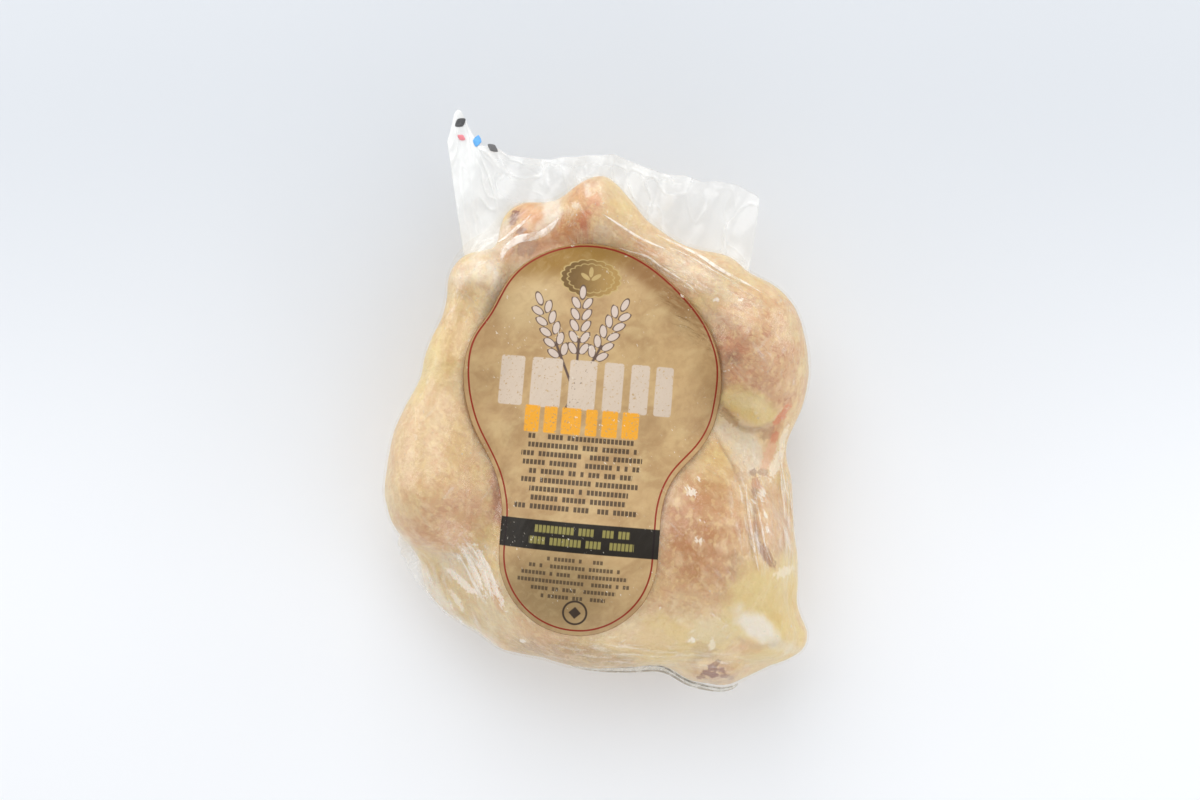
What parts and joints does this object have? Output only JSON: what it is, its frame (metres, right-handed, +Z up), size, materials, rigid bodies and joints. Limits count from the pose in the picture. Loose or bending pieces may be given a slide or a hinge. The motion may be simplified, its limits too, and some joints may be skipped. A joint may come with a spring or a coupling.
{
  "type": "whole raw chicken in a vacuum bag",
  "caption": "Whole raw chicken, shrink-wrapped on its back in a clear vacuum bag with a sealed header, under a keyhole-shaped printed label.",
  "frame": {"origin": "on the surface that the pack lies on, at the middle of its outline seen from above", "axes": "+Z up through the breast, +Y towards the tail, the hocks and the bag's header, +X towards the bird's left as it lies, which is on the right when seen from above with the header at the top"},
  "size_m": [0.1922, 0.2593, 0.099],
  "materials": {
    "bagged_skin": "pale raw skin under tight clear film, glossy",
    "clear_film": "clear shrink film, glossy, milky where it is gathered or creased",
    "label_film": "printed tan label, satin, with fine wrinkles"
  },
  "bodies": {
    "root": {"bagged_chicken": "bagged_skin", "label": "label_film"}
  },
  "joints": []
}
